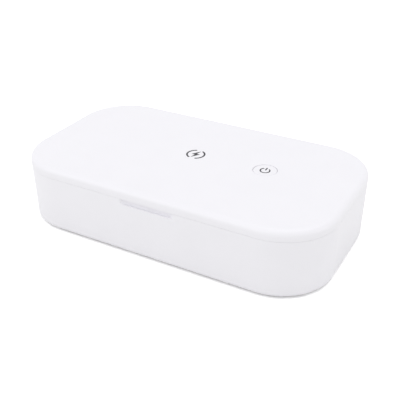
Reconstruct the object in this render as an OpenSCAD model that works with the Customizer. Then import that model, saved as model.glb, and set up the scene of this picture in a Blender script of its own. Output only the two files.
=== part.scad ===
// Ultraviolet sanitizer box for phones: a moulded base with a mirrored chamber,
// a hinged lid with a second lamp and a charging coil, and one power button.
// The origin is the centre of the footprint on the table. X runs along the box,
// Y runs from the front wall to the hinge, and Z is up. The lid is drawn closed.

/* [Box] */
// Overall length
body_l = 228; // [190:1:280]
// Overall width, front wall to back wall
body_w = 128; // [108:1:156]
// Overall height, feet included
body_h = 49; // [44:1:60]
// Radius of the four upright corners
corner_r = 38; // [32:1:46]
// Width of the rim between the outside and the chamber
rim_w = 16; // [15:0.5:20]
// Height of the rubber feet under the base
foot_h = 2; // [1.5:0.1:3]

/* [Base] */
// Thickness of the outer wall
base_wall = 2.5; // [2:0.1:3.2]
// Amount by which the wall leans in from the seam to the foot
base_draft = 0.8; // [0:0.1:1.6]
// Rounding of the lower outside edge
base_edge_r = 1.6; // [0.8:0.1:2]
// Thickness of the deck that carries the chamber
deck_t = 3; // [2.6:0.1:4]
// Depth of the deck below the wall's top edge
deck_drop = 0.6; // [0.4:0.1:1]
// Thickness of the bottom cover
cover_t = 2; // [1.6:0.1:2.2]
// Width of the finger recess in the front wall
scoop_w = 40; // [30:1:60]
// Depth of the finger recess
scoop_d = 2.4; // [1.6:0.1:3]
// Height of the finger recess below the seam
scoop_h = 3.8; // [3:0.1:5]

/* [Chamber] */
// Height of the chamber floor above the table
floor_z = 12.5; // [12.5:0.1:15]
// Thickness of the chamber's walls and floor
tray_wall = 1.5; // [1.2:0.1:1.8]
// Rounding between the chamber's walls and floor
tray_cove_r = 5; // [3:0.5:8]
// Width of the flange that hangs the chamber on the deck
flange_w = 3.5; // [3:0.1:4]
// Distance between two rests for the phone
rest_pitch = 20; // [16:1:22]
// Height of a rest
rest_h = 3.5; // [2.5:0.1:4.5]

/* [Lid] */
// Height of the lid from the seam to its top face
lid_h = 7; // [6.8:0.1:8]
// Rounding of the lid's upper edge
lid_edge_r = 4; // [2.5:0.1:4.5]
// Thickness of the lid's side wall
lid_wall = 2.3; // [2:0.1:2.6]
// Thickness of the lid's top
lid_top = 2; // [1.8:0.1:2.2]
// Width of the shut line between lid and base
seam_gap = 0.1; // [0.1:0.01:0.2]
// Distance of the lid's lamp behind the middle of the box
lid_lamp_y = 27; // [26:0.5:28]

/* [Hinge] */
// Radius of a hinge knuckle
knuckle_r = 2.5; // [2.2:0.1:2.8]
// Radius of the hinge pin
pin_r = 1; // [0.8:0.1:1.2]
// Length of the whole hinge, five knuckles together
hinge_l = 110; // [80:1:130]
// Angle to which the lid opens
open_angle = 100; // [90:1:100]

/* [Button] */
// Diameter of the power button
button_d = 16.4; // [12:0.1:18]
// Distance of the button from the middle along the box
button_x = 51; // [46:1:56]
// Distance of the button from the middle towards the hinge
button_y = 4.6; // [2:0.1:4.8]
// Travel of the button
button_travel = 0.6; // [0.4:0.05:0.7]

/* [Electrics] */
// Diameter of a lamp's quartz tube
lamp_d = 4; // [3:0.1:4]
// Distance from the lamp's end to the chamber's end wall
lamp_margin = 28; // [26:1:36]
// Outer diameter of the charging coil
coil_d = 50; // [40:1:52]
// Width of the main board
board_l = 80; // [60:1:82]
// Thickness of the circuit boards
board_t = 1; // [0.8:0.1:1.2]
// Diameter of the magnets that hold the lid shut
magnet_d = 6; // [4:0.1:7]
// Distance of the magnets from the middle along the box
magnet_x = 60; // [54:1:64]

/* [Hidden] */
$fn = 96;

// Clearances, the over-run of a cut, and how far two shapes of one piece run into each other
fit_gap = 0.3;
window_gap = 0.2;
slip_gap = 0.05;
pin_gap = 0.03;
over = 1;
blend_in = 0.1;

// Heights of the base
seam_z = body_h - lid_h;
lean = base_draft / (seam_z - foot_h);
deck_z = seam_z - deck_drop;
deck_under = deck_z - deck_t;
cover_z = foot_h + 0.2;
cover_top = cover_z + cover_t;
cover_inset = base_wall + lean * (seam_z - cover_z) + fit_gap;

// Outlines are set in from the outside by an inset and share their corner centres
corner_x = body_l / 2 - corner_r;
corner_y = body_w / 2 - corner_r;
tray_inset = rim_w - tray_wall;
flange_inset = tray_inset - flange_w;
flange_t = 1.2;
mouth_flare = 0.8;
seal_w = 2.4;
seal_depth = 1.2;
seal_land = 0.6;
seal_edge_r = 0.8;
seal_inset = flange_inset - fit_gap - seal_land - seal_w;
hollow_inset = (base_wall + tray_inset) / 2;
hollow_y = body_w / 2 - hollow_inset;
chamber_l = body_l - 2 * rim_w;
chamber_w = body_w - 2 * rim_w;

// Finger recess: its ends are round in plan, and its floor curves up into its back
scoop_end_r = 7;
scoop_cove_r = 1.4;
scoop_wall = 2;
scoop_run = sqrt(pow(scoop_end_r, 2) - pow(scoop_end_r - scoop_d, 2));

// Case screws
boss_r = 3.5;
boss_x = 45;
screw_r = 1.2;
screw_l = 11;
screw_head_r = 2.6;
screw_head_h = 0.9;
screw_slot_depth = 0.4;

// Rib and board posts of the bottom cover
cover_rib_t = 1.2;
cover_rib_h = 1;
board_post_r = 2.5;
board_post_skin = 0.6;

// Clips that hold the chamber under the deck
clip_w = 8;
clip_h = 4;
clip_reach = fit_gap + 0.9;

// Feet
foot_r = 7;
foot_edge_r = 0.6;
foot_sink = 0.6;
foot_x = body_l / 2 - 30;
foot_y = body_w / 2 - 28;

// Hinge
hinge_y = body_w / 2 - knuckle_r;
hinge_z = seam_z;
knuckle_l = hinge_l / 5;
knuckle_side_gap = 0.2;
relief_gap = 0.35;
bulkhead_t = 1.2;
bulkhead_y = hinge_y - knuckle_r - 2 * fit_gap - bulkhead_t;
bulkhead_l = hinge_l + 6;
beam_t = 2.4;
beam_run = 12;
lid_web_reach = 1;

// Lamp units, drawn from the outer face of the window into the trough below it
lamp_l = chamber_l - 2 * lamp_margin;
lamp_r = lamp_d / 2;
lamp_drop = 2.4;
lamp_wall = 0.5;
cap_r = lamp_r + 0.3;
cap_l = 7;
cap_grip = 4;
lead_r = 0.5;
lead_l = 3;
holder_l = 5;
holder_x = lamp_l / 2 - 0.5;
holder_rise = 1.2;
trough_l = lamp_l + 16;
trough_w = 18;
trough_depth = 5.2;
trough_wall = 1.2;
trough_r = 3;
window_l = trough_l + 6;
window_w = trough_w + 6;
window_r = 5;
window_t = 1.5;
ledge_t = 1.4;
reflector_t = 0.4;
reflector_w = trough_w - 1.2;
reflector_l = lamp_l - 2 * cap_grip - 1;
reflector_top = window_t + 0.4;

// Rests for the phone
rest_w = 2.4;
rest_end_room = 2;
rest_row_room = 24;

// Lid
lid_under = seam_z + seam_gap;
lid_ceiling = body_h - lid_top;
liner_t = 1.4;
liner_z = seam_z + deck_drop;
liner_inset = lid_wall + fit_gap;
pan_inset = rim_w + 1;
pan_z = seam_z - 1.6;
pan_top = pan_z + liner_t;
pan_edge_r = 1.6;
bulge_z = pan_z - 3.6;
bulge_l = window_l + 6;
bulge_w = window_w + 8;
bulge_r = 8;
bulge_edge_r = 3;
liner_screw_r = 1;
liner_screw_l = 4;
liner_boss_r = 2.8;
liner_boss_room = 0.8;
liner_head_r = 2;
liner_head_h = 0.7;
liner_slot_depth = 0.4;

// Button, its switch and the boards under the lid's top
dish_fn = 1440;
button_gap = 0.2;
button_hole_r = button_d / 2 + button_gap;
button_edge_r = 0.5;
button_dish = 0.25;
button_skin = 1.4;
button_flange_w = 1.6;
button_flange_z = lid_ceiling - 0.15;
button_flange_t = 0.95;
stem_r = 2.5;
switch_w = 6;
plunger_r = 1.5;
plunger_top = button_flange_z - button_flange_t;
switch_top = plunger_top - button_travel - 0.1;
lid_board_z = pan_top + fit_gap;
lid_board_top = lid_board_z + board_t;
lid_board_y = button_y - 1.6;
lid_board_w = 26;
control_l = 30;
charger_l = 34;
charger_x = -56;
post_r = 2;
post_inset = 3;
peg_r = 0.9;

// Coil
coil_t = 1.2;
coil_bore_r = 10;
coil_rib_t = 1;
ferrite_t = 0.8;

// Main board, what stands on it, and the charge socket
board_z = cover_top + 1.2;
board_top = board_z + board_t;
board_front = window_w / 2 + window_gap + trough_wall + 2.8;
board_back = body_w / 2 - 5.2;
board_post_x = board_l / 2 - 4;
board_post_y = [board_front + 4, board_front + 30];
board_screw_r = 0.9;
board_head_r = 1.9;
board_head_h = 1.2;
back_row_y = board_back - 4.6;
capacitor_x = [14, 22, 30];
capacitor_r = 3;
capacitor_h = 9;
transformer_x = -22;
transformer_l = 18;
transformer_w = 8;
transformer_foot = 1.5;
transformer_core = 12;
transformer_h = 11.5;
winding_r = 3.6;
winding_l = 16;
socket_w = 8.94;
socket_t = 3.2;
socket_l = 7.3;
socket_skin = 0.3;
socket_back_t = 1;
tongue_w = 6.6;
tongue_t = 0.7;
tongue_inset = 0.9;
socket_z = board_top + socket_t / 2;
socket_recess = 1;
wall_at_socket = body_w / 2 - lean * (seam_z - socket_z);
socket_mouth = wall_at_socket - socket_recess - window_gap;

// Magnets and the sensor that reads the lid's magnet
magnet_t = 2.5;
magnet_cup = 1;
magnet_gap = 0.1;
cup_h = 2;
sensor_l = 10;
sensor_w = 7;
sensor_post_y = 3;
sensor_post_r = 1;
sensor_post_h = 1.2;
sensor_chip_h = 1.2;

// Outline of the box, set in by inset
module plan(inset) {
    for (sx = [-1, 1], sy = [-1, 1])
        translate([sx * corner_x, sy * corner_y]) circle(corner_r - inset);
    square([2 * corner_x, body_w - 2 * inset], center = true);
    square([body_l - 2 * inset, 2 * corner_y], center = true);
}

module prism(inset, z0, z1) {
    translate([0, 0, z0]) linear_extrude(z1 - z0) plan(inset);
}

// Flat plate with round corners
module plate(l, w, r, z0, z1) {
    translate([0, 0, z0]) linear_extrude(z1 - z0) {
        for (sx = [-1, 1], sy = [-1, 1])
            translate([sx * (l / 2 - r), sy * (w / 2 - r)]) circle(r);
        square([l - 2 * r, w], center = true);
        square([l, w - 2 * r], center = true);
    }
}

// What a rounded edge takes away from a square one, on the upper or the lower side
module edge_cut(r, side) {
    difference() {
        translate([-r, side > 0 ? -r : -over]) square(r + over);
        translate([-r, -side * r]) circle(r);
    }
}

// Half of a section from the middle out to half, whose wall leans in below the seam
module half_section(half, z0, z1, top, bottom, slope) {
    foot = half - slope * (seam_z - z0);
    head = half - slope * (seam_z - z1);
    difference() {
        polygon([[0, z0], [foot, z0], [head, z1], [0, z1]]);
        if (top > 0) translate([head, z1]) edge_cut(top, 1);
        if (bottom > 0) translate([foot, z0]) edge_cut(bottom, -1);
    }
}

module full_section(half, z0, z1, top, bottom, slope) {
    half_section(half, z0, z1, top, bottom, slope);
    mirror([1, 0]) half_section(half, z0, z1, top, bottom, slope);
}

// Plate with round corners, rounded upper or lower edges and a leaning wall
module soft_plate(l, w, r, z0, z1, top = 0, bottom = 0, slope = 0) {
    straight_x = l / 2 - r;
    straight_y = w / 2 - r;
    for (sx = [-1, 1], sy = [-1, 1])
        translate([sx * straight_x, sy * straight_y, 0])
            rotate_extrude() half_section(r, z0, z1, top, bottom, slope);
    rotate([90, 0, 90]) linear_extrude(2 * straight_x, center = true)
        full_section(w / 2, z0, z1, top, bottom, slope);
    if (straight_y > 0) rotate([90, 0, 0]) linear_extrude(2 * straight_y, center = true)
        full_section(l / 2, z0, z1, top, bottom, slope);
}

// The same on the outline of the box
module slab(inset, z0, z1, top = 0, bottom = 0, slope = 0) {
    soft_plate(body_l - 2 * inset, body_w - 2 * inset, corner_r - inset,
        z0, z1, top, bottom, slope);
}

// Round bar along X
module bar(r, l) {
    rotate([0, 90, 0]) cylinder(r = r, h = l, center = true);
}

// Bar along Y with a stadium section
module stadium(w, t, l) {
    rotate([-90, 0, 0]) linear_extrude(l) {
        square([w - t, t], center = true);
        for (sx = [-1, 1]) translate([sx * (w - t) / 2, 0]) circle(t / 2);
    }
}

// Places of the parts that repeat
module at_case_screws() {
    reach = (corner_r - hollow_inset) * cos(45);
    for (sx = [-1, 1], sy = [-1, 1]) {
        translate([sx * (corner_x + reach), sy * (corner_y + reach), 0]) children();
        translate([sx * boss_x, sy * hollow_y, 0]) children();
    }
}

module at_feet() {
    for (sx = [-1, 1], sy = [-1, 1])
        translate([sx * foot_x, sy * foot_y, 0]) children();
}

module at_magnets() {
    for (sx = [-1, 1]) translate([sx * magnet_x, -hollow_y, 0]) children();
}

// The sensor sits in the middle of the box's end, under the lid's third magnet
module at_sensor() {
    translate([body_l / 2 - hollow_inset, 0, 0]) children();
}

module at_lid_magnets() {
    at_magnets() children();
    at_sensor() children();
}

module at_sensor_posts() {
    at_sensor() for (sy = [-1, 1]) translate([0, sy * sensor_post_y, 0]) children();
}

module at_board_screws() {
    for (sx = [-1, 1], y = board_post_y)
        translate([sx * board_post_x, y, 0]) children();
}

// At the front corners, along the front, and at the ends of the lamp's bulge
module at_liner_screws() {
    room = liner_boss_r + liner_boss_room;
    reach = (corner_r - pan_inset - liner_t - room) * cos(45);
    for (sx = [-1, 1]) {
        translate([sx * (corner_x + reach), -corner_y - reach, 0]) children();
        translate([sx * boss_x, pan_inset + liner_t + room - body_w / 2, 0]) children();
        translate([sx * (bulge_l / 2 + room), corner_y, 0]) children();
    }
}

module at_lid_board_posts(l, x) {
    for (sx = [-1, 1], sy = [-1, 1])
        translate([x + sx * (l / 2 - post_inset),
            lid_board_y + sy * (lid_board_w / 2 - post_inset), 0]) children();
}

module at_lower_lamp() {
    translate([0, 0, floor_z]) children();
}

module at_upper_lamp() {
    translate([0, lid_lamp_y, bulge_z]) mirror([0, 0, 1]) children();
}

module at_base_knuckles() {
    for (i = [-1:1]) translate([2 * i * knuckle_l, hinge_y, hinge_z]) children();
}

module at_lid_knuckles() {
    for (i = [-1, 1]) translate([i * knuckle_l, hinge_y, hinge_z]) children();
}

// How far the outline lies behind the hinge axis at a place along the box
function behind_axis(x) =
    let (past = max(0, abs(x) - corner_x))
    knuckle_r - corner_r + sqrt(pow(corner_r, 2) - pow(past, 2));

// Radius that the lid's back edge sweeps there as it opens, and some room
function sweep_r(x) = behind_axis(x) / cos(open_angle / 2) + relief_gap;

// Groove round the hinge axis in which the lid's back edge turns
module hinge_groove() {
    run_out = sqrt(pow(corner_r, 2) - pow(corner_r - knuckle_r, 2));
    steps = 8;
    half = [for (i = [0:steps])
        let (x = corner_x + run_out * i / steps) [sweep_r(x), x]];
    other = [for (i = [steps:-1:0]) [half[i][0], -half[i][1]]];
    tip = corner_x + run_out;
    translate([0, hinge_y, hinge_z]) rotate([0, 90, 0]) rotate_extrude()
        polygon(concat([[0, -tip]], other, half, [[0, tip]]));
}

module base_knuckle() {
    l = knuckle_l - 2 * knuckle_side_gap;
    web_h = sweep_r(0) + fit_gap;
    bar(knuckle_r, l);
    translate([-l / 2, -knuckle_r, -web_h]) cube([l, knuckle_r + fit_gap, web_h]);
}

module lid_knuckle() {
    l = knuckle_l - 2 * knuckle_side_gap;
    bar(knuckle_r, l);
    translate([-l / 2, -lid_web_reach, 0])
        cube([l, knuckle_r + lid_web_reach, lid_h - lid_edge_r]);
}

// Finger recess below the seam at the middle of the front, grown by the wall round it
module finger_recess(wall, top) {
    end_r = scoop_end_r + wall;
    l = scoop_w + 2 * (end_r - scoop_run);
    translate([0, scoop_d - scoop_end_r - body_w / 2, 0])
        soft_plate(l, 2 * end_r, end_r, seam_z - scoop_h - wall, top, bottom = scoop_cove_r + wall);
}

// Walls, deck and everything moulded on to them
module base_walls() {
    beam_z = hinge_z - sweep_r(0) - beam_t;
    difference() {
        slab(0, foot_h, seam_z, bottom = base_edge_r, slope = lean);
        slab(base_wall, foot_h - over, deck_under, slope = lean);
    }
    at_case_screws() translate([0, 0, cover_top])
        cylinder(r = boss_r, h = deck_under - cover_top + over);
    // Beam below the hinge groove
    intersection() {
        slab(base_wall / 2, foot_h, seam_z - over, slope = lean);
        translate([-corner_x - beam_run, bulkhead_y - base_wall / 2, beam_z])
            cube([2 * (corner_x + beam_run), body_w, deck_z - beam_z]);
    }
    // Wall behind the finger recess
    intersection() {
        slab(base_wall / 2, foot_h, deck_z, slope = lean);
        finger_recess(scoop_wall, deck_z);
    }
    at_magnets() translate([0, 0, deck_under - cup_h])
        cylinder(r = magnet_d / 2 + magnet_gap + magnet_cup, h = cup_h + over);
    at_sensor_posts() translate([0, 0, deck_under - sensor_post_h])
        cylinder(r = sensor_post_r, h = sensor_post_h + over);
}

// What is cut out of them
module base_cuts() {
    // The rim stands above the deck, also behind the finger recess
    difference() {
        prism(base_wall, deck_z, seam_z + over);
        finger_recess(scoop_wall, seam_z);
    }
    // Seat of the chamber's flange, and the opening for the chamber
    prism(flange_inset - fit_gap, deck_z - flange_t, seam_z + over);
    prism(tray_inset - fit_gap, deck_under - over, seam_z + over);
    // Groove for the light seal
    difference() {
        prism(seal_inset, deck_z - seal_depth, seam_z + over);
        prism(seal_inset + seal_w, deck_z - seal_depth - over, seam_z + 2 * over);
    }
    at_case_screws() translate([0, 0, cover_top - over])
        cylinder(r = screw_r + slip_gap, h = screw_l + over);
    at_magnets() translate([0, 0, deck_under - cup_h - over])
        cylinder(r = magnet_d / 2 + magnet_gap, h = cup_h + over);
    finger_recess(0, seam_z + over);
    translate([0, wall_at_socket - base_wall - over, socket_z])
        stadium(socket_w + 2 * window_gap, socket_t + 2 * window_gap, base_wall + 2 * over);
    translate([0, wall_at_socket - socket_recess, socket_z])
        stadium(socket_w + 4, socket_t + 4, socket_recess + over);
    hinge_groove();
}

module base_shell() {
    color("whitesmoke") difference() {
        union() {
            difference() {
                base_walls();
                base_cuts();
            }
            at_base_knuckles() base_knuckle();
        }
        translate([0, hinge_y, hinge_z]) bar(pin_r + pin_gap, hinge_l + 2 * over);
    }
}

module bottom_cover() {
    color("gainsboro") difference() {
        union() {
            slab(cover_inset - lean * (seam_z - cover_z), cover_z, cover_top, slope = lean);
            // Rib that finds the wall
            difference() {
                prism(cover_inset, cover_top - blend_in, cover_top + cover_rib_h);
                prism(cover_inset + cover_rib_t, cover_z, cover_top + cover_rib_h + over);
            }
            at_board_screws() translate([0, 0, cover_top - blend_in])
                cylinder(r = board_post_r, h = board_z - cover_top + blend_in);
        }
        at_case_screws() {
            translate([0, 0, cover_z - over])
                cylinder(r = screw_r + window_gap, h = cover_t + 2 * over);
            translate([0, 0, cover_z - over])
                cylinder(r = screw_head_r + window_gap, h = screw_head_h + over);
            translate([0, 0, cover_top]) cylinder(r = boss_r + fit_gap, h = cover_rib_h + over);
        }
        at_feet() translate([0, 0, cover_z - over]) cylinder(r = foot_r, h = foot_sink + over);
        at_board_screws() translate([0, 0, cover_z + board_post_skin])
            cylinder(r = board_screw_r + slip_gap, h = board_z);
    }
}

module rubber_feet() {
    color("lightgray") at_feet() rotate_extrude() difference() {
        square([foot_r - slip_gap, cover_z + foot_sink]);
        translate([foot_r - slip_gap, 0]) edge_cut(foot_edge_r, -1);
    }
}

// Screw that points up from the underside of its head, with a cross cut into it
module pan_screw(head_r, head_h, shank_r, shank_l, slot_depth) {
    difference() {
        union() {
            cylinder(r = head_r, h = head_h);
            cylinder(r = shank_r, h = shank_l);
        }
        for (turn = [0, 90]) rotate(turn) translate([0, 0, slot_depth / 2 - over / 2])
            cube([head_r * 1.1, head_r * 0.2, slot_depth + over], center = true);
    }
}

module cover_screws() {
    color("silver") at_case_screws() translate([0, 0, cover_z + slip_gap])
        pan_screw(screw_head_r, screw_head_h - slip_gap, screw_r, screw_l, screw_slot_depth);
}

// Wedge that snaps under the deck, pointing to +X
module clip() {
    rotate([90, 0, 0]) linear_extrude(clip_w, center = true)
        polygon([[-tray_wall / 2, -clip_h], [0, -clip_h], [clip_reach, 0], [-tray_wall / 2, 0]]);
}

module tray_clips() {
    for (end = [0, 180]) rotate(end) translate([0, 0, deck_under - window_gap]) {
        for (sy = [-1, 1])
            translate([body_l / 2 - tray_inset, sy * corner_y / 2, 0]) clip();
        for (x = [-3, -1, 1, 3] * corner_x / 5)
            translate([x, body_w / 2 - tray_inset, 0]) rotate(90) clip();
    }
}

// Trough and window frame of a lamp unit, and what is cut out of them
module lamp_housing() {
    frame = window_gap + trough_wall;
    plate(window_l + 2 * frame, window_w + 2 * frame, window_r + frame,
        -window_t - ledge_t, 0);
    plate(trough_l + 2 * trough_wall, trough_w + 2 * trough_wall, trough_r + trough_wall,
        -window_t - trough_depth - trough_wall, 0);
}

module lamp_housing_cuts() {
    plate(window_l + 2 * window_gap, window_w + 2 * window_gap, window_r + window_gap,
        -window_t, over);
    plate(trough_l, trough_w, trough_r, -window_t - trough_depth, over);
}

module chamber_tray() {
    color("silver") difference() {
        union() {
            slab(tray_inset, floor_z - tray_wall, deck_z, bottom = tray_cove_r + tray_wall);
            prism(flange_inset, deck_z - flange_t, deck_z);
            at_lower_lamp() translate([0, 0, -blend_in]) lamp_housing();
            tray_clips();
        }
        slab(rim_w, floor_z, deck_z + over, bottom = tray_cove_r);
        slab(rim_w - mouth_flare - deck_drop, deck_z - mouth_flare, deck_z + over, slope = 1);
        at_lower_lamp() lamp_housing_cuts();
    }
}

module lamp_tube() {
    translate([0, 0, -window_t - lamp_drop]) difference() {
        bar(lamp_r, lamp_l);
        bar(lamp_r - lamp_wall, lamp_l + over);
    }
}

module lamp_caps() {
    for (sx = [-1, 1])
        translate([sx * lamp_l / 2, 0, -window_t - lamp_drop]) difference() {
            union() {
                translate([sx * (cap_l / 2 - cap_grip), 0, 0]) bar(cap_r, cap_l);
                translate([sx * (cap_l - cap_grip + lead_l / 2), 0, 0]) bar(lead_r, lead_l);
            }
            translate([-sx * cap_grip / 2, 0, 0]) bar(lamp_r + slip_gap, cap_grip);
        }
}

module lamp_holders() {
    holder_h = trough_depth - lamp_drop + holder_rise;
    holder_w = trough_w - 2;
    for (sx = [-1, 1])
        translate([sx * holder_x, 0, -window_t]) difference() {
            translate([-holder_l / 2, -holder_w / 2, -trough_depth])
                cube([holder_l, holder_w, holder_h]);
            translate([0, 0, -lamp_drop]) bar(cap_r + slip_gap, holder_l + over);
        }
}

// Trough-shaped mirror: a parabola in section
module reflector() {
    low = window_t + trough_depth - slip_gap - reflector_t;
    steps = 12;
    curve = [for (i = [-steps:steps])
        let (u = i / steps) [reflector_w / 2 * u, -low + (low - reflector_top) * u * u]];
    under = [for (i = [len(curve) - 1:-1:0]) [curve[i][0], curve[i][1] - reflector_t]];
    rotate([90, 0, 90]) linear_extrude(reflector_l, center = true)
        polygon(concat(curve, under));
}

module window() {
    plate(window_l, window_w, window_r, -window_t, 0);
}

module lower_reflector() {
    color("gainsboro") at_lower_lamp() reflector();
}

module lower_lamp_tube() {
    color("lavender") at_lower_lamp() lamp_tube();
}

module lower_lamp_caps() {
    color("silver") at_lower_lamp() lamp_caps();
}

module lower_lamp_holders() {
    color("white") at_lower_lamp() lamp_holders();
}

module lower_window() {
    color("aliceblue") at_lower_lamp() window();
}

// Clear rests across the chamber floor
module phone_rests() {
    rest_l = chamber_w - 2 * (tray_cove_r + rest_end_room);
    last = floor((chamber_l - 2 * tray_cove_r - rest_row_room) / rest_pitch);
    color("aliceblue") for (i = [0:last])
        translate([(i - last / 2) * rest_pitch, 0, floor_z]) rotate([90, 0, 0])
            linear_extrude(rest_l, center = true) {
                translate([-rest_w / 2, 0]) square([rest_w, rest_h - rest_w / 2]);
                translate([0, rest_h - rest_w / 2]) circle(rest_w / 2);
            }
}

module main_board() {
    color("seagreen") difference() {
        translate([-board_l / 2, board_front, board_z])
            cube([board_l, board_back - board_front, board_t]);
        at_board_screws() translate([0, 0, board_z - over])
            cylinder(r = board_screw_r + window_gap, h = board_t + 2 * over);
    }
}

// A chip that stands on a board
module chip(x, y, z, size) {
    translate([x - size[0] / 2, y - size[1] / 2, z]) cube(size);
}

// The chips' places run from the middle and the front edge of the board
module board_parts() {
    color("dimgray") {
        chip(12, board_front + 10, board_top, [9, 9, 1.6]);
        chip(-12, board_front + 12, board_top, [6, 5, 1.4]);
        chip(-4, board_front + 26, board_top, [7, 7, 3.2]);
        chip(20, board_front + 26, board_top, [5, 6, 1.5]);
        for (x = capacitor_x) translate([x, back_row_y, board_top])
            cylinder(r = capacitor_r, h = capacitor_h);
    }
}

// Bobbin with two cheeks and a winding round its core, lying along the board
module ballast_transformer() {
    cheek = [transformer_l, transformer_w, transformer_foot];
    core_z = board_top + transformer_foot - blend_in;
    core_h = transformer_h - 2 * (transformer_foot - blend_in);
    color("goldenrod") {
        chip(transformer_x, back_row_y, board_top, cheek);
        chip(transformer_x, back_row_y, core_z, [transformer_core, transformer_w, core_h]);
        translate([transformer_x, back_row_y, core_z + core_h / 2]) bar(winding_r, winding_l);
        chip(transformer_x, back_row_y, board_top + transformer_h - transformer_foot, cheek);
    }
}

module board_screws() {
    screw_z = cover_z + board_post_skin + window_gap;
    color("silver") at_board_screws() {
        translate([0, 0, board_top]) cylinder(r = board_head_r, h = board_head_h);
        translate([0, 0, screw_z]) cylinder(r = board_screw_r, h = board_top - screw_z + blend_in);
    }
}

module charge_socket() {
    back = socket_mouth - socket_l;
    color("silver") {
        translate([0, back, socket_z]) difference() {
            stadium(socket_w, socket_t, socket_l);
            translate([0, socket_back_t, 0])
                stadium(socket_w - 2 * socket_skin, socket_t - 2 * socket_skin, socket_l);
        }
        // Contact tongue
        translate([-tongue_w / 2, back + socket_back_t - blend_in, socket_z - tongue_t / 2])
            cube([tongue_w, socket_l - socket_back_t - tongue_inset + blend_in, tongue_t]);
    }
}

module lid_sensor_board() {
    under = deck_under - sensor_post_h - board_t;
    at_sensor() {
        color("seagreen") chip(0, 0, under, [sensor_w, sensor_l, board_t]);
        color("dimgray") chip(0, 0, under - sensor_chip_h, [3, 4, sensor_chip_h + blend_in]);
    }
}

module base_magnets() {
    color("silver") at_magnets() translate([0, 0, deck_under - magnet_t])
        cylinder(r = magnet_d / 2, h = magnet_t);
}

module light_seal() {
    color("gray") difference() {
        slab(seal_inset + slip_gap, deck_z - seal_depth, liner_z - fit_gap, top = seal_edge_r);
        prism(seal_inset + seal_w - slip_gap, deck_z - seal_depth - over, liner_z + over);
    }
}

module hinge_pin() {
    color("silver") translate([0, hinge_y, hinge_z]) bar(pin_r, hinge_l - 1);
}

module lid_walls() {
    difference() {
        slab(0, lid_under, body_h, top = lid_edge_r);
        slab(lid_wall, lid_under - over, lid_ceiling, top = lid_edge_r - lid_top);
    }
    // Bulkhead in front of the hinge
    translate([-bulkhead_l / 2, bulkhead_y, liner_z])
        cube([bulkhead_l, bulkhead_t, lid_ceiling - liner_z + over]);
    at_liner_screws() translate([0, 0, pan_top])
        cylinder(r = liner_boss_r, h = lid_ceiling - pan_top + over);
    at_lid_magnets() translate([0, 0, lid_ceiling - cup_h])
        cylinder(r = magnet_d / 2 + magnet_gap + magnet_cup, h = cup_h + over);
    lid_board_posts(control_l, button_x);
    lid_board_posts(charger_l, charger_x);
    // Rib round the coil
    translate([0, 0, lid_ceiling - coil_t + window_gap]) difference() {
        cylinder(r = coil_d / 2 + coil_rib_t + window_gap, h = coil_t + over);
        translate([0, 0, -over]) cylinder(r = coil_d / 2 + window_gap, h = coil_t + 3 * over);
    }
}

// Posts with pegs through the corners of a board under the lid's top
module lid_board_posts(l, x) {
    at_lid_board_posts(l, x) {
        translate([0, 0, lid_board_top])
            cylinder(r = post_r, h = lid_ceiling - lid_board_top + over);
        translate([0, 0, lid_board_z]) cylinder(r = peg_r, h = board_t + over);
    }
}

module lid_cuts() {
    translate([button_x, button_y, lid_ceiling - over])
        cylinder(r = button_hole_r, h = lid_top + 2 * over);
    at_liner_screws() translate([0, 0, pan_top - over])
        cylinder(r = liner_screw_r + slip_gap, h = liner_screw_l + over);
    at_lid_magnets() translate([0, 0, lid_ceiling - cup_h - over])
        cylinder(r = magnet_d / 2 + magnet_gap, h = cup_h + over);
    at_base_knuckles() bar(knuckle_r + fit_gap, knuckle_l);
}

module lid_shell() {
    color("white") difference() {
        union() {
            difference() {
                lid_walls();
                lid_cuts();
            }
            at_lid_knuckles() lid_knuckle();
        }
        at_lid_knuckles() bar(pin_r + slip_gap, knuckle_l + over);
    }
}

module lid_liner() {
    notch_y = bulkhead_y - fit_gap;
    notch_l = bulkhead_l + 2 * fit_gap;
    color("silver") difference() {
        union() {
            difference() {
                union() {
                    prism(liner_inset, liner_z, liner_z + liner_t);
                    slab(pan_inset, pan_z, liner_z + liner_t, bottom = pan_edge_r);
                    translate([0, lid_lamp_y, 0])
                        soft_plate(bulge_l, bulge_w, bulge_r, bulge_z, pan_top,
                            bottom = bulge_edge_r);
                }
                prism(pan_inset + liner_t, pan_top, liner_z + liner_t + over);
                translate([0, lid_lamp_y, 0])
                    plate(bulge_l - 2 * liner_t, bulge_w - 2 * liner_t, bulge_r - liner_t,
                        bulge_z + liner_t, pan_top + over);
            }
            at_upper_lamp() lamp_housing();
        }
        at_upper_lamp() lamp_housing_cuts();
        translate([-notch_l / 2, notch_y, liner_z - over])
            cube([notch_l, body_w, liner_t + 2 * over]);
        at_liner_screws() {
            translate([0, 0, pan_z - over])
                cylinder(r = liner_screw_r + window_gap, h = liner_t + 2 * over);
            translate([0, 0, pan_z - over])
                cylinder(r = liner_head_r + window_gap, h = liner_head_h + over);
        }
    }
}

module upper_reflector() {
    color("gainsboro") at_upper_lamp() reflector();
}

module upper_lamp_tube() {
    color("lavender") at_upper_lamp() lamp_tube();
}

module upper_lamp_caps() {
    color("silver") at_upper_lamp() lamp_caps();
}

module upper_lamp_holders() {
    color("white") at_upper_lamp() lamp_holders();
}

module upper_window() {
    color("aliceblue") at_upper_lamp() window();
}

module charging_coil() {
    color("peru") translate([0, 0, lid_ceiling - coil_t]) difference() {
        cylinder(r = coil_d / 2, h = coil_t);
        translate([0, 0, -over]) cylinder(r = coil_bore_r, h = coil_t + 2 * over);
    }
}

module ferrite_sheet() {
    color("dimgray") translate([0, 0, lid_ceiling - coil_t - ferrite_t])
        cylinder(r = coil_d / 2 + window_gap, h = ferrite_t);
}

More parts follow.
